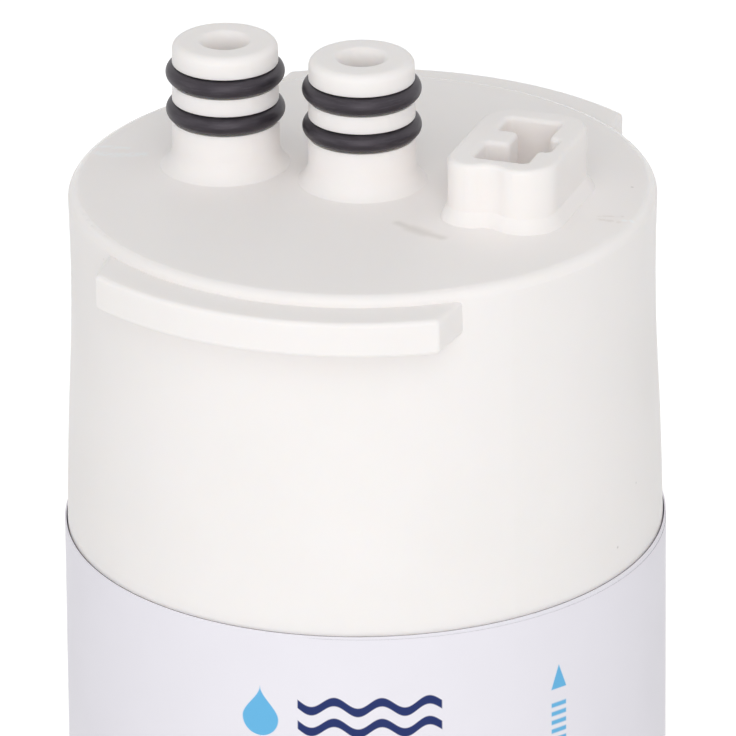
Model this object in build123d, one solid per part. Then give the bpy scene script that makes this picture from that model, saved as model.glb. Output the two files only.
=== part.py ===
from build123d import *
import os
from math import cos, hypot, radians, sin, sqrt, tan

# Twist-lock water filter cartridge, in millimetres, standing on its foot.
# +Z is up, the cartridge's axis is x = y = 0 and the foot is z = 0.
# The two ports and the key post stand in a row along X, and the bayonet lugs face -Y and +Y.
# Depths are measured down, and heights up, from the plane of the cap's rim unless a line says otherwise.

# Canister
body_height = 308.0  # foot to the plane of the cap's rim
body_radius = 47.75  # sump, and the cap at its lower edge
wall = 2.8
foot_recess = 3.0  # hollow under the bottom, inside the foot ring
foot_width = 4.75  # flat of the foot ring
foot_slope = 2.0  # radial run of the hollow's sloping side
bottom_round = 6.0
floor_thickness = 3.4
floor_round = 5.0  # inside corner of the sump
tongue_height = 8.0  # sump's tongue inside the cap's lip
lip_thickness = 1.4  # cap's lip outside the tongue
weld_gap = 0.1  # radial room between tongue and lip
tongue_end_gap = 0.4

# Cap: crowned roof, rounded rim, waisted side
cap_depth = 65.0  # rim to the cap's lower edge
rim_inset = 1.0  # rim's radius under the canister's
rim_round = 1.7
crown = 0.7  # rise of the roof's middle above the rim
roof_thickness = 3.6
waist_inset = 1.25  # waist's radius under the canister's
waist_depth = 15.0
flare_bend_depth = 31.0  # where the side turns from hollow to full

# Bayonet lugs
lug_reach = 6.35  # beyond the rim
lug_depth = 1.7  # rim to the lug's upper face
lug_height = 5.88
lug_half_width = 27.7  # at the lug's outer face
lug_end_taper = 5.6  # degrees, wider towards the cap
lug_turn = -0.3  # degrees, the pair of lugs out of square with the row of ports
lug_round = 0.8

# Ports: outlet on the axis, inlet beside it
port_pitch = 22.95
spigot_height = 21.5
spigot_radius = 8.62
spigot_top_radius = 8.43
spigot_round = 1.4
spigot_flare = 1.7  # reach of the flared foot beyond the spigot's side
spigot_flare_height = 3.4
port_bore_radius = 3.3
port_mouth_flare = 1.1  # widening of the bore's soft mouth
port_mouth_depth = 2.6
lower_ring_height = 10.0
ring_pitch = 6.26
ring_section = 3.0
ring_stand_out = 0.9  # of the seal beyond the spigot's land
ring_side_gap = 0.2
seal_gap = 0.05  # between a seal and the face that it seals on

# Key post and its socket
key_offset = 26.13
key_length = 17.45  # along X
key_width = 25.0  # along Y
key_height = 10.7
key_corner = 5.5
key_port_corner = 4.0  # front corner on the ports' side
key_hollow = 1.2  # depth of the hollow between the two front corners
key_top_round = 0.8
key_foot = 1.2  # reach of the sloping foot beyond the post's side
key_foot_height = 2.2
socket_floor_height = 2.2
socket_arm_wall = 4.1  # post's wall on the ports' side, to the arms of the socket
socket_arm = 3.7  # reach of the two arms beside the tongue
socket_spine = 5.2
socket_notch = 1.9  # notch in the far wall
socket_half_width = 8.7
socket_tongue_low = -2.1
socket_tongue_high = 3.2
socket_notch_low = -3.2
socket_notch_high = 2.2
socket_corner = 0.95
socket_mouth_round = 0.75

# Socket under the roof for the element's neck
neck_radius = 9.0
neck_gap = 0.3
neck_socket_wall = 2.4
neck_socket_length = 20.0  # below the roof
neck_end_gap = 1.5
neck_wall = 2.4  # behind the seal grooves
neck_ring_section = 2.6
neck_ring_pitch = 5.5
neck_ring_side_gap = 0.2
neck_ring_inset = 4.0  # neck's end to the upper seal's middle

# Filter element
block_radius = 33.0
block_bore_radius = 6.0
wrap_thickness = 1.6
wrap_gap = 0.05
end_plate = 2.5
end_lip_wall = 1.8
end_lip_height = 7.0
end_lip_gap = 0.2
boss_radius = 12.0
boss_wall = 2.4
boss_clearance = 3.0  # lower end cap's plate above the sump's seat
seat_wall = 2.4
seat_height = 6.0
seat_gap = 0.3

# Label film
label_thickness = 0.4
label_gap = 0.05  # adhesive
label_overlap = 8.22  # how far the film reaches up over the cap
label_foot_gap = 12.0  # foot to the film's lower edge
label_skew = 0.69  # degrees, the film's upper edge out of level
label_high_side = 80.5  # degrees from +X towards +Y

# How far a cut runs past the face that it opens, and how near an edge is to the face that it lies on
cut_over = 2.0
touch = 0.02

# Where a turned face starts, in degrees from +X: between the key post and the front lug
seam_angle = -41.0

# Derived sizes and places
rim_z = body_height
rim_radius = body_radius - rim_inset
waist_radius = body_radius - waist_inset
lug_radius = rim_radius + lug_reach
foot_outer_radius = body_radius - bottom_round
foot_inner_radius = foot_outer_radius - foot_width
spigot_top_z = rim_z + spigot_height
toe_radius = spigot_radius + spigot_flare
cap_bottom_z = rim_z - cap_depth
roof_bottom_z = rim_z - roof_thickness
root_z = rim_z - roof_thickness / 2  # where posts and spigots are rooted in the roof
floor_z = foot_recess + floor_thickness
ports = {"outlet": 0.0, "inlet": -port_pitch}
port_rings = {"lower": rim_z + lower_ring_height, "upper": rim_z + lower_ring_height + ring_pitch}
ring_middle_radius = spigot_radius + ring_stand_out - ring_section / 2
groove_floor_radius = ring_middle_radius - ring_section / 2 - seal_gap
groove_width = ring_section + 2 * ring_side_gap
key_top_z = rim_z + key_height
socket_arm_x = key_offset - key_length / 2 + socket_arm_wall
socket_spine_x = socket_arm_x + socket_arm
socket_far_x = socket_spine_x + socket_spine
neck_socket_radius = neck_radius + neck_gap
neck_socket_bottom_z = roof_bottom_z - neck_socket_length
neck_top_z = roof_bottom_z - neck_end_gap
neck_ring_middle_radius = neck_socket_radius - seal_gap - neck_ring_section / 2
neck_groove_floor_radius = neck_ring_middle_radius - neck_ring_section / 2 - seal_gap
neck_groove_width = neck_ring_section + 2 * neck_ring_side_gap
neck_bore_radius = neck_groove_floor_radius - neck_wall
upper_neck_ring_z = neck_top_z - neck_ring_inset
neck_rings = {"upper": upper_neck_ring_z, "lower": upper_neck_ring_z - neck_ring_pitch}
boss_height = seat_height + boss_clearance
block_top_z = neck_socket_bottom_z - end_plate
block_bottom_z = floor_z + boss_height + end_plate
wrap_inner_radius = block_radius + wrap_gap
wrap_radius = wrap_inner_radius + wrap_thickness
end_lip_inner_radius = wrap_radius + end_lip_gap
end_radius = end_lip_inner_radius + end_lip_wall
seat_inner_radius = boss_radius + seat_gap
label_inner_radius = body_radius + label_gap
label_radius = label_inner_radius + label_thickness
label_top_z = cap_bottom_z + label_overlap


def turned(lines):
    """Solid made by turning a closed outline of (radius, height) lines about the cartridge's axis."""
    return Rot(0, 0, seam_angle) * revolve(Plane.XZ * make_face((Curve() + lines).edges()), Axis.Z)


def tube(inner, outer, bottom, top):
    """Plain ring or sleeve about the axis."""
    return Pos(0, 0, bottom) * extrude(Circle(outer) - Circle(inner), top - bottom)


def disc(radius, bottom, top):
    """Plain round plate or plug on the axis."""
    return Pos(0, 0, bottom) * extrude(Circle(radius), top - bottom)


def seal(middle_radius, section, x, z):
    """O-ring lying level about an upright axis at x."""
    return Pos(x, 0, z) * Torus(middle_radius, section / 2)


def roof_height(x, y):
    """Height of the crowned roof over a point: a sphere that rises by crown over the rim's inner edge."""
    edge = rim_radius - rim_round
    sphere = (edge**2 + crown**2) / (2 * crown)
    return rim_z + crown - sphere + sqrt(sphere**2 - x**2 - y**2)


def side_radius(z):
    """Radius of a spigot's tapered side at a height."""
    share = (z - rim_z) / (spigot_height - spigot_round)
    return spigot_radius + (spigot_top_radius - spigot_radius) * share


def spigot_end():
    """Rounded outer edge of a spigot's end, from its side to its flat."""
    shoulder = (spigot_top_radius, spigot_top_z - spigot_round)
    return TangentArc(shoulder, (spigot_top_radius - spigot_round, spigot_top_z), tangent=(0, 1))


def spigot_side(base_z):
    """Tapered side of a spigot from its rounded end down to base_z, with the two seal grooves."""
    points = [spigot_end() @ 0]
    for ring_z in sorted(port_rings.values(), reverse=True):
        high = ring_z + groove_width / 2
        low = ring_z - groove_width / 2
        points += [(side_radius(high), high), (groove_floor_radius, high)]
        points += [(groove_floor_radius, low), (side_radius(low), low)]
    return Polyline(*points, (side_radius(base_z), base_z))


def spigot_foot(side, toe_z):
    """Flared foot under a spigot's side, down to its toe, which meets the roof in a plain edge."""
    return TangentArc(side @ 1, (toe_radius, toe_z), tangent=side % 1)


def port_mouth():
    """Soft edge of a port's bore at the spigot's end: a quarter of a tall ellipse, from flat to bore."""
    middle = (port_bore_radius + port_mouth_flare, spigot_top_z - port_mouth_depth)
    return EllipticalCenterArc(middle, port_mouth_flare, port_mouth_depth, start_angle=90, arc_size=90)


def cap_shell():
    """Outlet spigot, roof, rim, waisted side with a lip for the sump, and neck socket, in one section."""
    toe_z = roof_height(toe_radius, 0)
    middle_radius = (toe_radius + rim_radius) / 2
    rim_top = (rim_radius - rim_round, rim_z)
    rim_side = (rim_radius, rim_z - rim_round)
    waist = (waist_radius, rim_z - waist_depth)
    lower_edge = (body_radius, cap_bottom_z)
    # The hollow arc and the full arc share one slope at the bend, and both are upright at their far ends
    bend_share = (flare_bend_depth - waist_depth) / (cap_depth - waist_depth)
    bend = (waist_radius + (body_radius - waist_radius) * bend_share, rim_z - flare_bend_depth)
    lip_top_z = cap_bottom_z + tongue_height + tongue_end_gap
    bore_foot = (port_bore_radius, roof_bottom_z)
    mouth = port_mouth()
    end = spigot_end()
    side = spigot_side(toe_z + spigot_flare_height)
    foot = spigot_foot(side, toe_z)
    roof = ThreePointArc(foot @ 1, (middle_radius, roof_height(middle_radius, 0)), rim_top)
    rim = TangentArc(rim_top, rim_side, tangent=roof % 1)
    upper_side = TangentArc(waist, rim_side, tangent=(0, 1))
    hollow_side = TangentArc(waist, bend, tangent=(0, -1))
    full_side = TangentArc(bend, lower_edge, tangent=hollow_side % 1)
    inside = Polyline(
        lower_edge,
        (body_radius - lip_thickness, cap_bottom_z),
        (body_radius - lip_thickness, lip_top_z),
        (body_radius - wall, lip_top_z),
        (waist_radius - wall, roof_bottom_z),
        (neck_socket_radius + neck_socket_wall, roof_bottom_z),
        (neck_socket_radius + neck_socket_wall, neck_socket_bottom_z),
        (neck_socket_radius, neck_socket_bottom_z),
        (neck_socket_radius, roof_bottom_z),
        bore_foot,
    )
    spigot = [Line(bore_foot, mouth @ 1), mouth, Line(mouth @ 0, end @ 1), end, side, foot]
    return turned(spigot + [roof, rim, upper_side, hollow_side, full_side, inside])


def inlet_blank():
    """Inlet spigot with its seal grooves and flared foot, rooted in the roof, before its bore."""
    toe_z = roof_height(ports["inlet"], 0)
    end = spigot_end()
    side = spigot_side(toe_z + spigot_flare_height)
    foot = spigot_foot(side, toe_z)
    # The foot runs straight on, to under the lowest part of the sloping roof round it
    slope = foot % 1
    drop = toe_z - roof_height(ports["inlet"] - toe_radius - spigot_flare, 0)
    skirt = foot @ 1 - slope * (drop / slope.Y)
    core = Polyline(end @ 1, (0, spigot_top_z), (0, root_z), (skirt.X, root_z), skirt, foot @ 1)
    return Pos(ports["inlet"], 0, 0) * turned([end, side, foot, core])


def inlet_cut():
    """Bore of the inlet through spigot and roof, with its soft mouth."""
    mouth = port_mouth()
    over_z = spigot_top_z + cut_over
    under_z = roof_bottom_z - cut_over
    core = Polyline(
        mouth @ 0,
        ((mouth @ 0).X, over_z),
        (0, over_z),
        (0, under_z),
        (port_bore_radius, under_z),
        mouth @ 1,
    )
    return Pos(ports["inlet"], 0, 0) * turned([mouth, core])


def key_outline():
    """Key post's plan: three like corners, a smaller one, and a shallow hollow of four arcs in its front."""
    left, right = -key_length / 2, key_length / 2
    front, rear = -key_width / 2, key_width / 2
    start = left + key_port_corner
    finish = right - key_corner
    middle = (start + finish) / 2
    down = TangentArc((start, front), ((start + middle) / 2, front + key_hollow / 2), tangent=(1, 0))
    bottom_in = TangentArc(down @ 1, (middle, front + key_hollow), tangent=down % 1)
    bottom_out = TangentArc(bottom_in @ 1, ((middle + finish) / 2, front + key_hollow / 2), tangent=(1, 0))
    up = TangentArc(bottom_out @ 1, (finish, front), tangent=bottom_out % 1)
    far_front = TangentArc((finish, front), (right, front + key_corner), tangent=(1, 0))
    far_side = Line(far_front @ 1, (right, rear - key_corner))
    far_rear = TangentArc(far_side @ 1, (finish, rear), tangent=(0, 1))
    rear_side = Line(far_rear @ 1, (left + key_corner, rear))
    port_rear = TangentArc(rear_side @ 1, (left, rear - key_corner), tangent=(-1, 0))
    port_side = Line(port_rear @ 1, (left, front + key_port_corner))
    port_front = TangentArc(port_side @ 1, (start, front), tangent=(0, -1))
    hollow = [down, bottom_in, bottom_out, up]
    rest = [far_front, far_side, far_rear, rear_side, port_rear, port_side, port_front]
    return make_face((Curve() + hollow + rest).edges())


def key_blank():
    """Key post with a softened top edge, rooted in the roof, before its socket."""
    post = Pos(key_offset, 0, root_z) * extrude(key_outline(), key_top_z - root_z)
    return fillet(post.faces().sort_by(Axis.Z)[-1].edges(), key_top_round)


def key_socket_cut():
    """Blind key socket: a spine, two arms either side of a tongue, and a notch in the far wall."""

    def slot(x_low, x_high, y_low, y_high):
        return Pos((x_low + x_high) / 2, (y_low + y_high) / 2) * Rectangle(x_high - x_low, y_high - y_low)

    outline = slot(socket_spine_x, socket_far_x, -socket_half_width, socket_half_width)
    outline += slot(socket_arm_x, socket_far_x, -socket_half_width, socket_tongue_low)
    outline += slot(socket_arm_x, socket_far_x, socket_tongue_high, socket_half_width)
    outline += slot(socket_spine_x, socket_far_x + socket_notch, socket_notch_low, socket_notch_high)
    outline = fillet(outline.vertices(), socket_corner)
    depth = key_height - socket_floor_height
    return Pos(0, 0, rim_z + socket_floor_height) * extrude(outline, depth + cut_over)


def lug():
    """Front bayonet lug: a sector of a thick ring with nearly parallel ends, softened outside."""
    root_radius = waist_radius - wall / 2
    bottom_z = rim_z - lug_depth - lug_height
    end_spread = lug_radius * tan(radians(lug_end_taper))
    ends = make_face(
        Polyline(
            (-lug_half_width, -lug_radius),
            (lug_half_width, -lug_radius),
            (lug_half_width + end_spread, 0),
            (-lug_half_width - end_spread, 0),
            close=True,
        ).edges()
    )
    sector = ends & (Circle(lug_radius) - Circle(root_radius))
    block = Pos(0, 0, bottom_z) * extrude(sector, lug_height)

    def is_outside(edge):
        return max(hypot(v.X, v.Y) for v in edge.vertices()) > root_radius + lug_round

    return fillet(block.edges().filter_by(is_outside), lug_round)


def cap():
    """The moulded cap: shell with the outlet, inlet spigot, key post and lugs in one piece."""
    front_lug = Rot(0, 0, lug_turn) * lug()
    body = cap_shell() + front_lug + Rot(0, 0, 180) * front_lug + key_blank() + inlet_blank()

    def is_key_foot(edge):
        """True for the edges on the roof round the key post."""
        middle = edge @ 0.5
        in_length = abs(middle.X - key_offset) < key_length / 2 + touch
        in_width = abs(middle.Y) < key_width / 2 + touch
        return in_length and in_width and abs(middle.Z - roof_height(middle.X, middle.Y)) < touch

    def is_socket_mouth(edge):
        """True for the edges of the socket in the key post's top face."""
        middle = edge @ 0.5
        in_length = socket_arm_x - touch < middle.X < socket_far_x + socket_notch + touch
        in_width = abs(middle.Y) < socket_half_width + touch
        return in_length and in_width and abs(middle.Z - key_top_z) < touch

    foot = body.edges().filter_by(is_key_foot)
    roof = body.faces().filter_by(lambda face: all(edge in face.edges() for edge in foot))[0]
    body = chamfer(foot, key_foot, key_foot_height, reference=roof)
    body -= key_socket_cut()
    body = fillet(body.edges().filter_by(is_socket_mouth), socket_mouth_round)
    return body - inlet_cut()


def sump():
    """Lower shell: closed bottom with a foot ring, seat for the element, and the tongue for the cap."""
    inner = body_radius - wall
    tongue_radius = body_radius - lip_thickness - weld_gap
    tongue_top_z = cap_bottom_z + tongue_height
    foot_edge = (foot_outer_radius, 0)
    side_start = (body_radius, bottom_round)
    wall_foot = (inner, floor_z + floor_round)
    floor_edge = (inner - floor_round, floor_z)
    outside = Polyline(
        (0, foot_recess),
        (foot_inner_radius - foot_slope, foot_recess),
        (foot_inner_radius, 0),
        foot_edge,
    )
    corner = TangentArc(foot_edge, side_start, tangent=(1, 0))
    side = Polyline(
        side_start,
        (body_radius, cap_bottom_z),
        (tongue_radius, cap_bottom_z),
        (tongue_radius, tongue_top_z),
        (inner, tongue_top_z),
        wall_foot,
    )
    inner_corner = TangentArc(wall_foot, floor_edge, tangent=(0, -1))
    floor = Polyline(
        floor_edge,
        (seat_inner_radius + seat_wall, floor_z),
        (seat_inner_radius + seat_wall, floor_z + seat_height),
        (seat_inner_radius, floor_z + seat_height),
        (seat_inner_radius, floor_z),
        (0, floor_z),
        (0, foot_recess),
    )
    return turned([outside, corner, side, inner_corner, floor])


def label():
    """Printed film round the sump and the cap's lower edge, its upper edge slightly out of level."""
    rise = label_radius * tan(radians(label_skew))
    sleeve = tube(label_inner_radius, label_radius, label_foot_gap, label_top_z + rise + cut_over)
    lean = sin(radians(label_skew))
    high_side = radians(label_high_side)
    up = (-lean * cos(high_side), -lean * sin(high_side), cos(radians(label_skew)))
    return split(sleeve, Plane((0, 0, label_top_z), z_dir=up), keep=Keep.BOTTOM)


def upper_end_cap():
    """End cap of the element: plate and lip over the block, and the grooved neck that plugs into the cap."""
    part = disc(end_radius, block_top_z, neck_socket_bottom_z)
    part += tube(end_lip_inner_radius, end_radius, block_top_z - end_lip_height, block_top_z)
    part += disc(neck_radius, block_top_z, neck_top_z)
    for ring_z in neck_rings.values():
        low = ring_z - neck_groove_width / 2
        part -= tube(neck_groove_floor_radius, neck_radius + cut_over, low, low + neck_groove_width)
    return part - disc(neck_bore_radius, block_top_z - cut_over, neck_top_z + cut_over)


def carbon_block():
    """Pressed carbon block with a bore that carries the filtered water up to the neck."""
    return tube(block_bore_radius, block_radius, block_bottom_z, block_top_z)


def prefilter_wrap():
    """Layer of non-woven cloth round the block."""
    return tube(wrap_inner_radius, wrap_radius, block_bottom_z, block_top_z)


def lower_end_cap():
    """Closed end cap under the block, with a hollow boss that stands in the sump's seat."""
    plate_bottom_z = block_bottom_z - end_plate
    part = disc(end_radius, plate_bottom_z, block_bottom_z)
    part += tube(end_lip_inner_radius, end_radius, block_bottom_z, block_bottom_z + end_lip_height)
    return part + tube(boss_radius - boss_wall, boss_radius, floor_z, plate_bottom_z)


pieces = {
    "cap": cap(),
    "sump": sump(),
    "label": label(),
    "upper_end_cap": upper_end_cap(),
    "carbon_block": carbon_block(),
    "prefilter_wrap": prefilter_wrap(),
    "lower_end_cap": lower_end_cap(),
}
for port, x in ports.items():
    for place, ring_z in port_rings.items():
        pieces[f"{port}_o_ring_{place}"] = seal(ring_middle_radius, ring_section, x, ring_z)
for place, ring_z in neck_rings.items():
    pieces[f"neck_o_ring_{place}"] = seal(neck_ring_middle_radius, neck_ring_section, 0, ring_z)

os.makedirs("parts", exist_ok=True)
for name, piece in pieces.items():
    export_step(piece, f"parts/{name}.step")
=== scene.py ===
"""Looks of a twist-lock water filter cartridge: mouldings, seals, a printed film and a plain studio."""

import math

import bpy
import numpy as np
from bpy.props import FloatProperty, FloatVectorProperty, PointerProperty
from mathutils import Matrix, Vector


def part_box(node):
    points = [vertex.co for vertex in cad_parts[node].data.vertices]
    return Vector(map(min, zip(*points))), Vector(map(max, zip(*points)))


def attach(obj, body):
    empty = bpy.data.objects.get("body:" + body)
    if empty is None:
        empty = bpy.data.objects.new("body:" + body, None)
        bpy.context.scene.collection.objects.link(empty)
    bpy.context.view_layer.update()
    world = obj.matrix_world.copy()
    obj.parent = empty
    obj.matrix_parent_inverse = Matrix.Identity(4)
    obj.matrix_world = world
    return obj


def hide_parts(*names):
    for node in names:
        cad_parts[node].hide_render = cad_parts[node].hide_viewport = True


bl_info = {
    "name": "Water filter cartridge",
    "version": (1, 0, 0),
    "blender": (4, 5, 0),
    "location": "View3D > Sidebar > Cartridge",
    "description": "Finishes the packed cartridge and sets up a plain studio round it",
    "category": "Object",
}

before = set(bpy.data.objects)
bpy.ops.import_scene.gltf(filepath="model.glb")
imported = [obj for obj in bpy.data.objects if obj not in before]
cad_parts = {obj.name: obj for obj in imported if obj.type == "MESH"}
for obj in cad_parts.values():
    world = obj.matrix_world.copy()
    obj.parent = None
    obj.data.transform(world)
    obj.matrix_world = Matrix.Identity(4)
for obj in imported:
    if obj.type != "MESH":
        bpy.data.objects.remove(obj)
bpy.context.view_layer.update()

BODY = "root"
MM = 0.001

MOULDINGS = ("sump", "upper_end_cap", "lower_end_cap")
SEALS = (
    "inlet_o_ring_lower",
    "inlet_o_ring_upper",
    "outlet_o_ring_lower",
    "outlet_o_ring_upper",
    "neck_o_ring_lower",
    "neck_o_ring_upper",
)

# Wires of a node tree

MIX_FACTOR, MIX_FIRST_COLOR, MIX_SECOND_COLOR, MIX_COLOR_OUT = 0, 6, 7, 2
DOT_LENGTH = Vector((0.1, 0.0, 0.0))

# The range over which a smooth noise turns from one tone to the other
TONE_RANGE = (0.3, 0.7)


class Wire:
    """An output socket of a node tree. Arithmetic adds Math nodes, and node() adds any other kind."""

    def __init__(self, tree, socket=None):
        self.tree = tree
        self.socket = socket

    def node(self, kind, settings=None, inputs=None, output=0):
        """Adds a node, sets its settings, then sets or links its inputs, and returns one of its outputs."""
        made = self.tree.nodes.new(kind)
        for name, value in (settings or {}).items():
            setattr(made, name, value)
        for key, value in (inputs or {}).items():
            if isinstance(value, Wire):
                self.tree.links.new(value.socket, made.inputs[key])
            else:
                made.inputs[key].default_value = value
        return Wire(self.tree, made.outputs[output])

    def feed(self, socket):
        """Links this output to a socket of the shader."""
        self.tree.links.new(self.socket, socket)

    def math(self, operation, *values, clamp=False):
        """A Math node on this wire and more values."""
        settings = {"operation": operation, "use_clamp": clamp}
        return self.node("ShaderNodeMath", settings, dict(enumerate((self, *values))))

    def vector(self, operation, second, output=0):
        """A Vector Math node on this wire and a second vector."""
        return self.node("ShaderNodeVectorMath", {"operation": operation}, {0: self, 1: second}, output)

    def scaled(self, factor):
        """This vector times a number or a wire."""
        return self.node("ShaderNodeVectorMath", {"operation": "SCALE"}, {0: self, "Scale": factor})

    def step(self, low, high):
        """A smooth step: 0 up to low and 1 from high, or falling where high is the smaller."""
        inputs = {"Value": self, "From Min": low, "From Max": high}
        return self.node("ShaderNodeMapRange", {"interpolation_type": "SMOOTHSTEP"}, inputs)

    def color(self, first, second):
        """Mixes two colours by this wire, from first at 0 to second at 1."""
        inputs = {MIX_FACTOR: self, MIX_FIRST_COLOR: first, MIX_SECOND_COLOR: second}
        return self.node("ShaderNodeMix", {"data_type": "RGBA"}, inputs, MIX_COLOR_OUT)

    def parts(self):
        """The X, Y and Z of this vector."""
        split = self.tree.nodes.new("ShaderNodeSeparateXYZ")
        self.tree.links.new(self.socket, split.inputs[0])
        return [Wire(self.tree, output) for output in split.outputs]

    def __add__(self, other):
        return self.math("ADD", other)

    def __radd__(self, other):
        return self.math("ADD", other)

    def __sub__(self, other):
        return self.math("SUBTRACT", other)

    def __rsub__(self, other):
        return self.math("MULTIPLY_ADD", -1.0, other)

    def __mul__(self, other):
        return self.math("MULTIPLY", other)

    def __rmul__(self, other):
        return self.math("MULTIPLY", other)

    def __truediv__(self, other):
        return self.math("DIVIDE", other)


def new_finish(name):
    """A new material with a Principled shader: the material, a wire on its tree and the shader's inputs."""
    material = bpy.data.materials.new(name)
    material.use_nodes = True
    shader = material.node_tree.nodes["Principled BSDF"]
    return material, Wire(material.node_tree), shader.inputs


def millimetres(wire):
    """The place on the piece in millimetres, in the cartridge's own frame."""
    return wire.node("ShaderNodeTexCoord", output="Object").scaled(1.0 / MM)


def noise(wire, place, scale, detail=2.0):
    """Noise about 0.5, with features one over scale across."""
    return wire.node("ShaderNodeTexNoise", None, {"Vector": place, "Scale": scale, "Detail": detail}, "Fac")


def stroke(place, start, end, width):
    """A soft line: 1 on the segment from start to end, falling to 0 one width away from it."""
    along = Vector(end) - Vector(start)
    from_start = place.vector("SUBTRACT", start)
    share = from_start.vector("DOT_PRODUCT", along / along.length_squared, "Value")
    share = share.math("MULTIPLY", 1.0, clamp=True)
    nearest = share.node("ShaderNodeVectorMath", {"operation": "SCALE"}, {0: along, "Scale": share})
    return from_start.vector("DISTANCE", nearest, "Value").step(width, 0.0)


def soft_dot(place, middle, width):
    """A soft dot: a very short line."""
    return stroke(place, middle, Vector(middle) + DOT_LENGTH, width)


def from_axis(place):
    """The distance from the cartridge's axis."""
    x, y, _ = place.parts()
    return (x * x + y * y).math("SQRT")


def add_bump(wire, shader, height, strength, depth):
    """Feeds the shader's normal with the bump of a height map."""
    inputs = {"Strength": strength, "Distance": depth, "Height": height}
    wire.node("ShaderNodeBump", None, inputs).feed(shader["Normal"])


def strongest(masks):
    """The largest of several masks at each place."""
    result = masks[0]
    for mask in masks[1:]:
        result = result.math("MAXIMUM", mask)
    return result


# Settings that a user would change


def color_setting(name, description, default):
    return FloatVectorProperty(name=name, description=description, default=default, subtype="COLOR", size=4)


def length_setting(name, description, default):
    return FloatProperty(name=name, description=description, default=default, unit="LENGTH", precision=5)


def power_setting(name, description, watts):
    return FloatProperty(name=name, description=description, default=watts, unit="POWER")


def angle_setting(name, description, degrees):
    return FloatProperty(name=name, description=description, default=math.radians(degrees), subtype="ANGLE")


def share_setting(name, description, default):
    return FloatProperty(
        name=name, description=description, default=default, min=0.0, max=1.0, subtype="FACTOR"
    )


class MouldingSettings(bpy.types.PropertyGroup):
    """Finish of the white mouldings."""

    color: color_setting("Colour", "Off-white of the moulded plastic", (0.98, 0.935, 0.914, 1))
    shade: color_setting("Mottling", "Greyer tone that drifts through the plastic", (0.96, 0.917, 0.898, 1))
    roughness: share_setting("Roughness", "Satin of the mould's surface", 0.42)
    grain_size: length_setting("Grain", "Size of the mould's fine grain", 0.25 * MM)
    glow: share_setting("Glow", "Share of light that scatters inside the plastic", 0.35)
    glow_depth: length_setting("Glow depth", "How far light spreads inside the plastic", 1.8 * MM)


class SealSettings(bpy.types.PropertyGroup):
    """Shape and finish of the rubber seals."""

    color: color_setting("Colour", "Charcoal of the rubber", (0.018, 0.0155, 0.020, 1))
    worn: color_setting("Worn", "Greyer bloom on the rubber", (0.040, 0.036, 0.043, 1))
    roughness: share_setting("Roughness", "Dull shine of the rubber", 0.45)
    flash: length_setting("Flash", "Height of the thin moulding line round each seal", 0.03 * MM)
    flash_angle: angle_setting("Flash angle", "Where the moulding line lies round the cord's section", 38)


class LabelSettings(bpy.types.PropertyGroup):
    """Shape, paper and print of the label film."""

    color: color_setting("Film", "Lilac white of the film", (0.885, 0.865, 0.925, 1))
    # Painted shade: this dark colour on the film's cut edge stands for the shadow in the gap between film
    # and cap
    painted_edge_shade: color_setting("Backing", "Dark cut edge of the film's backing", (0.06, 0.054, 0.072, 1))
    sky: color_setting("Light ink", "Light blue of the print", (0.15, 0.50, 0.82, 1))
    navy: color_setting("Dark ink", "Dark blue of the print", (0.02, 0.035, 0.15, 1))
    skew: angle_setting("Skew", "Tilt of the film's upper edge", 0.69)
    high_side: angle_setting("High side", "Direction in which the upper edge is highest", 80.5)
    # Painted shade: how far out from the inside of the film its cut edge is painted dark
    painted_shade_depth: length_setting("Backing depth", "Thickness of the dark backing at the edge", 0.12 * MM)
    lap: length_setting("Lap", "Thickness of the upper layer where the film laps over itself", 0.04 * MM)
    lap_drop: length_setting("Lap drop", "How far the upper layer starts below the film's edge", 0.35 * MM)
    lap_slant: angle_setting("Lap slant", "Slope of the upper layer's edge against the film's", 0.4)
    lap_start: angle_setting("Lap start", "Direction of the upper layer's front end", -82.56)
    lap_end: angle_setting("Lap end", "Direction of the upper layer's rear end", 100)
    lap_taper: angle_setting("Lap taper", "Turn over which the upper layer thins out at its ends", 4)


class StageSettings(bpy.types.PropertyGroup):
    """Camera and light of the studio."""

    azimuth: angle_setting("Azimuth", "Camera's turn round the cartridge", 19.446)
    elevation: angle_setting("Elevation", "Camera's height above the horizon", 23.42)
    roll: angle_setting("Roll", "Camera's tilt about its own axis", 0.478)
    distance: length_setting("Distance", "From the camera to the point that it aims at", 2.0)
    picture_width: length_setting("Picture width", "Width of the picture at that point", 0.116696)
    aim_right: length_setting("Aim right", "Aim to the right of the rim's middle", 0.616 * MM)
    aim_up: length_setting("Aim up", "Aim above the rim's middle", -29.42 * MM)
    rim: length_setting("Rim", "Height of the cap's rim", 0.308)
    ambient: share_setting("Ambient", "Even light from all round", 0.49)
    front: power_setting("Front lamp", "Soft lamp before the cap, half way up", 6.3)
    low: power_setting("Low lamp", "Soft lamp before the cap at its own height", 6.2)
    left: power_setting("Left lamp", "Soft lamp on the left", 2.65)
    high: power_setting("High lamp", "Soft lamp high on the right", 1.35)
    rear: power_setting("Rear lamp", "Soft lamp behind the cap on the right", 1.2)
    top: power_setting("Top lamp", "Soft lamp over the cap", 0.8)
    floor: color_setting("Floor", "Pale floor", (0.8, 0.8, 0.8, 1))
    floor_lift: share_setting("Floor lift", "Light that the floor adds where it is seen", 0.62)
    floor_glow: share_setting("Floor glow", "Light that the floor gives the cartridge", 0.1)


# Surfaces

# Edges that turn by more than this are shaded sharp
SHARP_ANGLE = math.radians(40)


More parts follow.
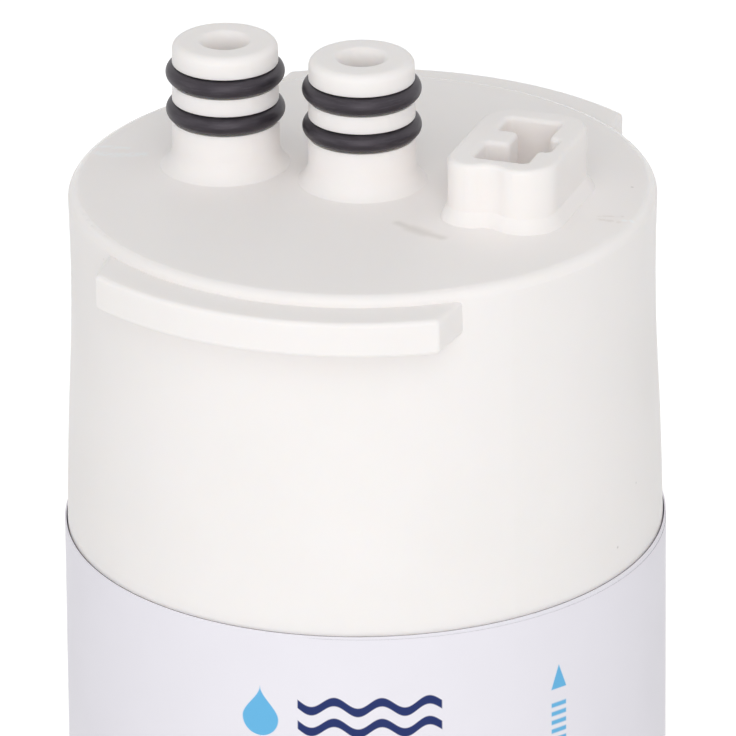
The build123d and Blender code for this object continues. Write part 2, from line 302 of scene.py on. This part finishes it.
def grid_faces(rows, columns, wraps_rows, wraps_columns):
    """Quads between neighbours of a grid of points. A wrapped direction joins its last line to its first."""
    index = np.arange(rows * columns).reshape(rows, columns)
    if wraps_rows:
        index = np.concatenate([index, index[:1]], axis=0)
    if wraps_columns:
        index = np.concatenate([index, index[:, :1]], axis=1)
    corners = (index[:-1, :-1], index[1:, :-1], index[1:, 1:], index[:-1, 1:])
    return np.stack(corners, axis=-1).reshape(-1, 4).tolist()


def new_piece(name, points, faces):
    """A mesh object from a grid of points and a list of faces, smooth but for its sharp edges."""
    mesh = bpy.data.meshes.new(name)
    mesh.from_pydata(points.reshape(-1, 3).tolist(), [], faces)
    mesh.polygons.foreach_set("use_smooth", np.ones(len(mesh.polygons), bool))
    mesh.set_sharp_from_angle(angle=SHARP_ANGLE)
    mesh.update()
    piece = bpy.data.objects.new(name, mesh)
    bpy.context.scene.collection.objects.link(piece)
    return piece


def finish_piece(piece, material, slot, *nodes):
    """Gives a new piece its material, and sets it on the body in place of its solids."""
    piece.data.materials.append(material)
    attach(piece, BODY)
    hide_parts(*nodes)


def finish_node(node, material):
    """Gives a solid's object its material."""
    node_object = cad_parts[node]
    node_object.data.materials.clear()
    node_object.data.materials.append(material)


# White mouldings

# Marks on the cap's roof in millimetres: two ends and the distance over which the mark fades
LIGHT_SCUFFS = (
    ((-45.3, 1.1), (-40.4, 1.5), 1.1),
    ((-44.3, -1.7), (-42.3, -2.0), 1.5),
    ((-42.3, -2.0), (-37.0, -0.4), 1.6),
    ((44.2, -1.9), (45.5, -1.6), 0.7),
)
DARK_STREAKS = (
    ((11.2, -15.2), (13.8, -16.5), 1.3),
    ((13.8, -16.5), (16.6, -17.6), 2.0),
    ((16.6, -17.6), (19.6, -18.4), 1.4),
)
BROWN_SCRATCHES = (
    ((40.0, -1.7), (43.5, -0.5), 0.5),
    ((40.6, -2.9), (43.6, -2.8), 0.8),
)
SPECKS = (
    (-31.1, -35.2, 304.8),
    (41.2, 11.4, 308.1),
    (47.3, -4.6, 264.4),
    (46.3, -11.2, 255.9),
)
SPECK_RADIUS = 0.35
SCUFF_WHITE = (1.0, 1.0, 1.0, 1)
STREAK_GREY, STREAK_STRENGTH = (0.60, 0.57, 0.53, 1), 0.36
SCRATCH_BROWN, SCRATCH_STRENGTH = (0.66, 0.60, 0.54, 1), 0.3
SPECK_GREY, SPECK_STRENGTH = (0.35, 0.34, 0.33, 1), 0.5

# Noise that breaks up the marks, with features per millimetre
BREAK_SCALE, BREAK_RANGE = 1.1, (0.3, 0.55)

# The polished rim in millimetres, and the roughness of its polish
RIM_RADIUS, RIM_HEIGHT, RIM_WEAR = 45.8, 307.0, 1.0
RIM_POLISH = 0.15

# The plastic: drifts per millimetre, how drift and grain change the roughness, and the grain's bump
PLASTIC_DRIFT = 0.045
DRIFT_ROUGHNESS, GRAIN_ROUGHNESS = 0.06, 0.08
GRAIN_STRENGTH, GRAIN_DEPTH = 0.06, 0.02 * MM
PLASTIC_GLOSS = 0.2
GLOW_BY_COLOR = (1.0, 0.88, 0.75)


def roof_marks(place, marks):
    """A mask of marks that are given by their plan, whatever the height."""
    plan = place.vector("MULTIPLY", (1.0, 1.0, 0.0))
    return strongest([stroke(plan, (*start, 0.0), (*end, 0.0), fade) for start, end, fade in marks])


def polished_rim(place):
    """A mask of the rounded edge between the roof and the side, which is rubbed shiny."""
    beside = (from_axis(place) - RIM_RADIUS).math("ABSOLUTE").step(RIM_WEAR, 0.0)
    height = place.parts()[2]
    return beside * height.step(RIM_HEIGHT - 2 * RIM_WEAR, RIM_HEIGHT)


def cap_marks(wire, place, color):
    """The scuffs, streak, scratches and specks of the cap over its colour."""
    broken = noise(wire, place, BREAK_SCALE).step(*BREAK_RANGE)
    scuffs = roof_marks(place, LIGHT_SCUFFS) * broken
    streaks = roof_marks(place, DARK_STREAKS) * STREAK_STRENGTH
    scratches = roof_marks(place, BROWN_SCRATCHES) * broken * SCRATCH_STRENGTH
    specks = strongest([soft_dot(place, spot, SPECK_RADIUS) for spot in SPECKS]) * SPECK_STRENGTH
    color = scuffs.color(color, SCUFF_WHITE)
    color = streaks.color(color, STREAK_GREY)
    color = scratches.color(color, SCRATCH_BROWN)
    return specks.color(color, SPECK_GREY)


def white_plastic(name, settings, marked):
    """Satin off-white plastic: a drifting tone, a fine grain, and the marks and polished rim of the cap."""
    material, wire, shader = new_finish(name)
    place = millimetres(wire)
    drift = noise(wire, place, PLASTIC_DRIFT, detail=3.0).step(*TONE_RANGE)
    color = drift.color(settings.color, settings.shade)
    grain = noise(wire, place, MM / settings.grain_size, detail=3.0)
    roughness = settings.roughness + GRAIN_ROUGHNESS * (grain - 0.5) + DRIFT_ROUGHNESS * (drift - 0.5)
    if marked:
        color = cap_marks(wire, place, color)
        polished_rim(place).feed(shader["Coat Weight"])
        shader["Coat Roughness"].default_value = RIM_POLISH
    color.feed(shader["Base Color"])
    roughness.feed(shader["Roughness"])
    add_bump(wire, shader, grain, GRAIN_STRENGTH, GRAIN_DEPTH)
    shader["Specular IOR Level"].default_value = PLASTIC_GLOSS
    shader["Subsurface Weight"].default_value = settings.glow
    shader["Subsurface Radius"].default_value = GLOW_BY_COLOR
    shader["Subsurface Scale"].default_value = settings.glow_depth
    return material


class CARTRIDGE_OT_mouldings(bpy.types.Operator):
    """Finish the cap, the sump and the element's end caps in white plastic"""

    bl_idname = "cartridge.mouldings"
    bl_label = "White mouldings"

    def execute(self, context):
        settings = context.scene.cartridge_mouldings
        finish_node("cap", white_plastic("cap_plastic", settings, True))
        plain = white_plastic("plain_plastic", settings, False)
        for node in MOULDINGS:
            finish_node(node, plain)
        return {"FINISHED"}


# Seals

SEAL_AROUND, SEAL_ACROSS = 224, 48

# The flash's ridge: width in radians, waves round the ring, and their share of its height
RIDGE_WIDTH, RIDGE_WAVES, RIDGE_FADE = 0.07, 23, 0.3

# The ring's ripple: height, waves round the ring, where they start, and the slower beat over them
RIPPLE, RIPPLE_WAVES, RIPPLE_START, RIPPLE_BEAT = 0.01 * MM, 5, 1.3, 2

# The rubber: noise drawn out round the seal, for a pale bloom and a fine skin
RUBBER_STRETCH = (0.5, 0.5, 4.0)
RUBBER_TINT = (1.0, 0.9, 1.0, 1)
BLOOM_SCALE, BLOOM_RANGE, BLOOM_ROUGHNESS = 0.8, (0.45, 0.75), 0.14
SKIN_SCALE, SKIN_STRENGTH, SKIN_DEPTH = 3.0, 0.25, 0.03 * MM


def seal_points(low, high, settings):
    """A ring: the cord's round section carried round the spigot's axis. The section's radius is constant,
    but for a narrow bell-shaped ridge at the flash angle, and the ring has a slow ripple."""
    middle = (np.array(low) + np.array(high)) / 2
    cord = (high.z - low.z) / 2
    reach = (high.x - low.x) / 2 - cord
    around = np.linspace(0, 2 * math.pi, SEAL_AROUND, endpoint=False)[:, None]
    across = np.linspace(0, 2 * math.pi, SEAL_ACROSS, endpoint=False)[None, :]
    ridge = settings.flash * np.exp(-(((across - settings.flash_angle) / RIDGE_WIDTH) ** 2))
    ridge = ridge * (1 - RIDGE_FADE + RIDGE_FADE * np.sin(RIDGE_WAVES * around))
    ripple = RIPPLE * np.sin(RIPPLE_WAVES * around + RIPPLE_START) * np.sin(RIPPLE_BEAT * around)
    section = cord - settings.flash + ridge
    out = reach + section * np.cos(across) + ripple
    rise = section * np.sin(across)
    points = np.stack([out * np.cos(around), out * np.sin(around), rise], axis=-1)
    return points + middle


def seal_rubber(settings):
    """Dull charcoal rubber with a greyer bloom, streaked round the seal by noise squeezed in height."""
    material, wire, shader = new_finish("seal_rubber")
    place = millimetres(wire)
    streaked = place.vector("MULTIPLY", RUBBER_STRETCH)
    bloom = noise(wire, streaked, BLOOM_SCALE, detail=4.0).step(*BLOOM_RANGE)
    bloom.color(settings.color, settings.worn).feed(shader["Base Color"])
    (settings.roughness + BLOOM_ROUGHNESS * (bloom - 0.5)).feed(shader["Roughness"])
    shader["Specular Tint"].default_value = RUBBER_TINT
    skin = noise(wire, streaked, SKIN_SCALE, detail=3.0)
    add_bump(wire, shader, skin, SKIN_STRENGTH, SKIN_DEPTH)
    return material


class CARTRIDGE_OT_seals(bpy.types.Operator):
    """Make the rubber seals of the spigots and the element's neck"""

    bl_idname = "cartridge.seals"
    bl_label = "Rubber seals"

    def execute(self, context):
        settings = context.scene.cartridge_seals
        rubber = seal_rubber(settings)
        for node in SEALS:
            points = seal_points(*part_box(node), settings)
            piece = new_piece(node + "_rubber", points, grid_faces(SEAL_AROUND, SEAL_ACROSS, True, True))
            finish_piece(piece, rubber, "seal_rubber", node)
        return {"FINISHED"}


# Label film

FILM_AROUND = 360
FILM_THICKNESS = 0.4 * MM
CORNER = 1e-4

# Share of the lap's thickness that stays clear under the upper layer, and that is left at its thin ends
LAP_CLEAR = 0.1

# The print, by direction in degrees, height and size in millimetres
ARROW_DIRECTION, ARROW_TIP, ARROW_HEIGHT, ARROW_HALF_WIDTH = -31.5, 240.9, 4.1, 1.55
DASH_TOP, DASH_BOTTOM, DASH_HALF_WIDTH, DASH_PITCH, DASH_SHARE = 234.8, 224.3, 1.5, 1.5, 0.5
DROP_DIRECTION, DROP_MIDDLE, DROP_RADIUS, DROP_TIP = -91.0, 235.6, 3.0, 241.2
WAVE_DIRECTION, WAVE_HALF_LENGTH, WAVE_HEIGHT, WAVE_LENGTH = -70.0, 11.5, 0.9, 7.5
WAVE_LEVELS, WAVE_HALF_THICKNESS = (238.6, 235.0, 231.4), 0.75
PRINT_BLUR, DROP_BLEND = 0.12, 0.01

# A dark speck on the film's upper edge, by direction in degrees and size in millimetres
EDGE_SPECK_DIRECTION, EDGE_SPECK_RADIUS = -36.9, 0.4

# The film: its fading, the slopes that count as a cut edge, the blur of the shade painted on it, its finish
# and its ripples
FILM_DRIFT, FILM_FADE = 0.05, 0.985
CUT_SLOPES, PAINTED_SHADE_BLUR = (0.4, 0.8), 0.02
FILM_ROUGHNESS, FADED_ROUGHNESS = 0.4, 0.06
FILM_GLOSS, FILM_COAT, FILM_COAT_ROUGHNESS = 0.12, 0.03, 0.12
FILM_STRETCH, FILM_RIPPLES = (1.0, 1.0, 0.3), 0.12
FILM_RIPPLE_STRENGTH, FILM_RIPPLE_DEPTH = 0.15, 0.1 * MM

# The film's section as shares of its thickness and height: a thin upright loop with closely doubled corners
SECTION_DEPTH = np.array([1, 1, 1, 1, 0.95, 0.05, 0, 0, 0, 0, 0.05, 0.95])
SECTION_HEIGHT = np.array([0, CORNER, 1 - CORNER, 1, 1, 1, 1, 1 - CORNER, CORNER, 0, 0, 0])


def film_points(inner, thickness, foot, top, directions, settings):
    """The film: its section carried round the axis. Its thickness and its upper edge may change with the
    direction, and a plane tilted by the skew is added to the upper edge."""
    around = directions[:, None]
    out = inner + SECTION_DEPTH * np.broadcast_to(thickness, directions.shape)[:, None]
    tilt = math.tan(settings.skew) * np.cos(around - settings.high_side) * out
    edge = np.broadcast_to(top, directions.shape)[:, None] + tilt
    rise = foot + SECTION_HEIGHT * (edge - foot)
    return np.stack([out * np.cos(around), out * np.sin(around), rise], axis=-1)


def inside(value, half, blur=PRINT_BLUR):
    """A mask of where a signed value lies within plus or minus half."""
    return value.math("ABSOLUTE").step(half + blur, half - blur)


def label_print(place, radius, settings, color):
    """The print over a film colour: an arrowhead over dashes, a drop and three waves. Each is a mask of the
    height and of the distance across, which is the direction round the axis times the radius."""
    x, y, z = place.parts()
    across = y.math("ARCTAN2", x) * (radius / MM)
    degree = math.radians(radius / MM)
    arrow_x = across - ARROW_DIRECTION * degree
    below_tip = ARROW_TIP - z
    beyond_side = arrow_x.math("ABSOLUTE") - below_tip * (ARROW_HALF_WIDTH / ARROW_HEIGHT)
    head = beyond_side.step(PRINT_BLUR, -PRINT_BLUR)
    head = head * inside(below_tip - ARROW_HEIGHT / 2, ARROW_HEIGHT / 2)
    dashes = inside(((DASH_TOP - z) / DASH_PITCH).math("FRACT") - 0.5, DASH_SHARE / 2)
    dashes = dashes * inside(z - (DASH_TOP + DASH_BOTTOM) / 2, (DASH_TOP - DASH_BOTTOM) / 2)
    dashes = dashes * inside(arrow_x, DASH_HALF_WIDTH)
    drop_x = across - DROP_DIRECTION * degree
    drop_z = z - DROP_MIDDLE
    narrowing = (drop_z.step(0.0, DROP_TIP - DROP_MIDDLE) * -DROP_RADIUS) + DROP_RADIUS
    round_half = (DROP_RADIUS**2 - drop_z * drop_z).math("MAXIMUM", 0.0).math("SQRT")
    drop_half = drop_z.step(-DROP_BLEND, DROP_BLEND) * (narrowing - round_half) + round_half
    drop = (drop_x.math("ABSOLUTE") - drop_half).step(PRINT_BLUR, -PRINT_BLUR)
    drop = drop * inside(drop_z, DROP_TIP - DROP_MIDDLE)
    wave_x = across - WAVE_DIRECTION * degree
    swing = (wave_x * (2 * math.pi / WAVE_LENGTH)).math("SINE") * WAVE_HEIGHT
    waves = strongest([inside(z - level - swing, WAVE_HALF_THICKNESS) for level in WAVE_LEVELS])
    waves = waves * inside(wave_x, WAVE_HALF_LENGTH)
    color = strongest([head, dashes, drop]).color(color, settings.sky)
    return waves.color(color, settings.navy)


def label_film(name, settings, radius, top, dark_to):
    """Lilac-white glossy film with its print. Its cut edges, which face up or down, are painted dark as far
    as one distance from the axis: painted shade for the shadow in the gap at the film's edge."""
    material, wire, shader = new_finish(name)
    place = millimetres(wire)
    facing = wire.node("ShaderNodeTexCoord", output="Normal").parts()[2].math("ABSOLUTE")
    painted_shade_end = dark_to / MM
    painted_edge_shade = from_axis(place).step(painted_shade_end + PAINTED_SHADE_BLUR, painted_shade_end - PAINTED_SHADE_BLUR)
    cut = facing.step(*CUT_SLOPES) * painted_edge_shade
    drift = noise(wire, place, FILM_DRIFT).step(*TONE_RANGE)
    faded = [FILM_FADE * part for part in settings.color[:3]] + [1.0]
    color = label_print(place, radius, settings, drift.color(settings.color, faded))
    direction = math.radians(EDGE_SPECK_DIRECTION)
    speck = Vector((radius * math.cos(direction), radius * math.sin(direction), top)) / MM
    # The speck takes the same dark colour as the shade painted on the cut edge
    color = soft_dot(place, speck, EDGE_SPECK_RADIUS).color(color, settings.painted_edge_shade)
    # Painted shade: the cut edges near the inside of the film are coloured dark for the shadow in the gap
    cut.color(color, settings.painted_edge_shade).feed(shader["Base Color"])
    (FILM_ROUGHNESS + FADED_ROUGHNESS * drift).feed(shader["Roughness"])
    shader["Specular IOR Level"].default_value = FILM_GLOSS
    shader["Coat Weight"].default_value = FILM_COAT
    shader["Coat Roughness"].default_value = FILM_COAT_ROUGHNESS
    ripples = noise(wire, place.vector("MULTIPLY", FILM_STRETCH), FILM_RIPPLES)
    add_bump(wire, shader, ripples, FILM_RIPPLE_STRENGTH, FILM_RIPPLE_DEPTH)
    return material


class CARTRIDGE_OT_label(bpy.types.Operator):
    """Make the label film with the layer that laps over it"""

    bl_idname = "cartridge.label"
    bl_label = "Label film"

    def execute(self, context):
        settings = context.scene.cartridge_label
        low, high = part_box("label")
        outer = high.x
        inner = outer - FILM_THICKNESS
        top = high.z - outer * math.tan(settings.skew)
        under = outer - settings.lap
        # The film's cut edges are painted dark as shade up to this distance from the axis
        film = label_film("label_film", settings, outer, top, inner + settings.painted_shade_depth)
        directions = np.linspace(-math.pi, math.pi, FILM_AROUND, endpoint=False)
        points = film_points(inner, under - inner, low.z, top, directions, settings)
        piece = new_piece("label_film_wrap", points, grid_faces(*points.shape[:2], True, True))
        finish_piece(piece, film, "label_film", "label")
        directions = np.linspace(settings.lap_start, settings.lap_end, FILM_AROUND)
        from_end = np.minimum(directions - settings.lap_start, settings.lap_end - directions)
        thickness = settings.lap * np.clip(from_end / settings.lap_taper, LAP_CLEAR, 1 - LAP_CLEAR)
        from_start = outer * (directions - settings.lap_start)
        lap_top = top - settings.lap_drop - math.tan(settings.lap_slant) * from_start
        lap_foot = low.z + settings.lap_drop
        lap_inner = under + LAP_CLEAR * settings.lap
        points = film_points(lap_inner, thickness, lap_foot, lap_top, directions, settings)
        rows, columns = points.shape[:2]
        ends = [list(range(columns)), list(range(rows * columns - 1, (rows - 1) * columns - 1, -1))]
        piece = new_piece("label_film_lap", points, grid_faces(rows, columns, False, True) + ends)
        # Painted shade: the upper layer's cut edges are dark across their whole thickness, for the shaded
        # step at its edge
        film = label_film("label_film_lap", settings, outer, top, outer + settings.lap)
        finish_piece(piece, film, "label_film", "label")
        return {"FINISHED"}


# Filter element

# Noise that makes grains and fibres, its range of tones, the tones, the roughness and the bump
CARBON_GRAINS, CARBON_RANGE = 1.5, (0.35, 0.7)
CARBON_DARK, CARBON_LIGHT = (0.02, 0.02, 0.02, 1), (0.06, 0.06, 0.06, 1)
CLOTH_ALONG, CLOTH_ROUND, CLOTH_RANGE = (2.0, 2.0, 0.2), (0.3, 0.3, 2.5), (0.4, 0.7)
CLOTH_DARK, CLOTH_LIGHT = (0.78, 0.78, 0.76, 1), (0.92, 0.92, 0.9, 1)
CARBON_ROUGHNESS, CLOTH_ROUGHNESS = 0.85, 0.9
ELEMENT_STRENGTH, ELEMENT_DEPTH = 0.5, 0.2 * MM


def pressed_carbon():
    """Matt black pressed carbon: fine grains in colour and bump."""
    material, wire, shader = new_finish("pressed_carbon")
    grains = noise(wire, millimetres(wire), CARBON_GRAINS, detail=4.0)
    grains.step(*CARBON_RANGE).color(CARBON_DARK, CARBON_LIGHT).feed(shader["Base Color"])
    shader["Roughness"].default_value = CARBON_ROUGHNESS
    add_bump(wire, shader, grains, ELEMENT_STRENGTH, ELEMENT_DEPTH)
    return material


def non_woven_cloth():
    """White non-woven cloth: noise drawn out along and round the element as fibres, in colour and bump."""
    material, wire, shader = new_finish("non_woven_cloth")
    place = millimetres(wire)
    along = noise(wire, place.vector("MULTIPLY", CLOTH_ALONG), 1.0, detail=3.0)
    about = noise(wire, place.vector("MULTIPLY", CLOTH_ROUND), 1.0, detail=3.0)
    fibres = along.math("MAXIMUM", about)
    fibres.step(*CLOTH_RANGE).color(CLOTH_DARK, CLOTH_LIGHT).feed(shader["Base Color"])
    shader["Roughness"].default_value = CLOTH_ROUGHNESS
    add_bump(wire, shader, fibres, ELEMENT_STRENGTH, ELEMENT_DEPTH)
    return material


class CARTRIDGE_OT_element(bpy.types.Operator):
    """Finish the carbon block and its cloth wrap"""

    bl_idname = "cartridge.element"
    bl_label = "Filter element"

    def execute(self, context):
        finish_node("carbon_block", pressed_carbon())
        finish_node("prefilter_wrap", non_woven_cloth())
        return {"FINISHED"}


# Stage

FLOOR_HALF = 6.0
SENSOR = 36.0
CLIP_END = 100.0
LAMP_UP = Vector((0, 1, 0.01))

# Soft lamps round the cap: setting, azimuth and elevation in degrees, distance and width in metres
LAMPS = (
    ("front", 20, 35, 1.6, 1.2),
    ("low", 20, 0, 1.6, 1.2),
    ("left", -55, 20, 1.6, 1.0),
    ("high", 75, 50, 1.6, 1.0),
    ("rear", 125, 25, 1.6, 1.0),
    ("top", 20, 85, 1.6, 1.2),
)


def direction_to(azimuth, elevation):
    """Unit vector towards a place seen at that azimuth and elevation, where azimuth 0 is the -Y side."""
    level = math.cos(elevation)
    return Vector((math.sin(azimuth) * level, -math.cos(azimuth) * level, math.sin(elevation)))


def looking(location, back, up):
    """Matrix of a camera or lamp at a place, with its back to one direction and its top to another."""
    right = up.cross(back).normalized()
    top = back.cross(right)
    turn = Matrix((right, top, back)).transposed()
    return Matrix.Translation(location) @ turn.to_4x4()


def add_camera(settings):
    """A long lens at the settings' angles, aimed beside the middle of the cap's rim."""
    back = direction_to(settings.azimuth, settings.elevation)
    right = Vector((math.cos(settings.azimuth), math.sin(settings.azimuth), 0))
    up = back.cross(right)
    aim = Vector((0, 0, settings.rim)) + right * settings.aim_right + up * settings.aim_up
    camera = bpy.data.cameras.new("camera")
    camera.sensor_width = SENSOR
    camera.lens = SENSOR * settings.distance / settings.picture_width
    camera.clip_end = CLIP_END
    holder = bpy.data.objects.new("camera", camera)
    top = up * math.cos(settings.roll) + right * math.sin(settings.roll)
    holder.matrix_world = looking(aim + back * settings.distance, back, top)
    bpy.context.scene.collection.objects.link(holder)
    bpy.context.scene.camera = holder


def add_lamp(settings, name, azimuth, elevation, distance, width):
    """A square soft lamp that faces the cap."""
    lamp = bpy.data.lights.new(name + "_lamp", "AREA")
    lamp.energy = getattr(settings, name)
    lamp.size = width
    back = direction_to(math.radians(azimuth), math.radians(elevation))
    holder = bpy.data.objects.new(name + "_lamp", lamp)
    aim = Vector((0, 0, settings.rim))
    holder.matrix_world = looking(aim + back * distance, back, LAMP_UP)
    bpy.context.scene.collection.objects.link(holder)


def seen_rays(wire):
    """1 for rays from the camera, mirrors and glass, and 0 for the rays that only carry light."""
    path = wire.tree.nodes.new("ShaderNodeLightPath")
    rays = ("Is Camera Ray", "Is Glossy Ray", "Is Transmission Ray")
    return strongest([Wire(wire.tree, path.outputs[ray]) for ray in rays])


def add_world(settings):
    """An even white world: full strength where it is seen, and the ambient strength as light."""
    world = bpy.data.worlds.new("studio")
    world.use_nodes = True
    bpy.context.scene.world = world
    seen = seen_rays(Wire(world.node_tree))
    background = world.node_tree.nodes["Background"].inputs
    background["Color"].default_value = (1, 1, 1, 1)
    (settings.ambient + (1.0 - settings.ambient) * seen).feed(background["Strength"])


def add_floor(settings):
    """A flat pale square under the foot. It gives off a little light, and more where it is seen, so that it
    is white away from the shadow."""
    side = np.linspace(-FLOOR_HALF, FLOOR_HALF, 3)
    x, y = np.meshgrid(side, side, indexing="ij")
    points = np.stack([x, y, 0 * x], axis=-1)
    floor = new_piece("floor", points, grid_faces(3, 3, False, False))
    material, wire, shader = new_finish("floor")
    shader["Base Color"].default_value = settings.floor
    shader["Roughness"].default_value = 1.0
    shader["Specular IOR Level"].default_value = 0.0
    strength = settings.floor_glow + (settings.floor_lift - settings.floor_glow) * seen_rays(wire)
    glow = wire.node("ShaderNodeEmission", None, {"Strength": strength})
    nodes = material.node_tree.nodes
    paint = Wire(wire.tree, nodes["Principled BSDF"].outputs[0])
    both = wire.node("ShaderNodeAddShader", None, {0: glow, 1: paint})
    both.feed(nodes["Material Output"].inputs["Surface"])
    floor.data.materials.append(material)


class CARTRIDGE_OT_stage(bpy.types.Operator):
    """Set up the camera, the lamps, the world and the floor"""

    bl_idname = "cartridge.stage"
    bl_label = "Studio"

    def execute(self, context):
        settings = context.scene.cartridge_stage
        context.scene.view_settings.view_transform = "Standard"
        add_camera(settings)
        for lamp in LAMPS:
            add_lamp(settings, *lamp)
        add_world(settings)
        add_floor(settings)
        return {"FINISHED"}


# Sidebar and registration

SETTINGS = {
    "cartridge_mouldings": MouldingSettings,
    "cartridge_seals": SealSettings,
    "cartridge_label": LabelSettings,
    "cartridge_stage": StageSettings,
}
OPERATORS = (
    CARTRIDGE_OT_mouldings,
    CARTRIDGE_OT_seals,
    CARTRIDGE_OT_label,
    CARTRIDGE_OT_element,
    CARTRIDGE_OT_stage,
)


class CARTRIDGE_PT_sidebar(bpy.types.Panel):
    """Lists the cartridge's operators and settings"""

    bl_idname = "CARTRIDGE_PT_sidebar"
    bl_label = "Water filter cartridge"
    bl_space_type = "VIEW_3D"
    bl_region_type = "UI"
    bl_category = "Cartridge"

    def draw(self, context):
        for operator in OPERATORS:
            self.layout.operator(operator.bl_idname)
        for name in SETTINGS:
            box = self.layout.box()
            group = getattr(context.scene, name)
            for setting in group.__annotations__:
                box.prop(group, setting)


CLASSES = (*SETTINGS.values(), *OPERATORS, CARTRIDGE_PT_sidebar)


def register():
    for made in CLASSES:
        bpy.utils.register_class(made)
    for name, group in SETTINGS.items():
        setattr(bpy.types.Scene, name, PointerProperty(type=group))


def unregister():
    for name in SETTINGS:
        delattr(bpy.types.Scene, name)
    for made in reversed(CLASSES):
        bpy.utils.unregister_class(made)


def main():
    """Registers the add-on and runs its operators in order."""
    register()
    bpy.ops.cartridge.mouldings()
    bpy.ops.cartridge.seals()
    bpy.ops.cartridge.label()
    bpy.ops.cartridge.element()
    bpy.ops.cartridge.stage()


if __name__ == "__main__":
    main()
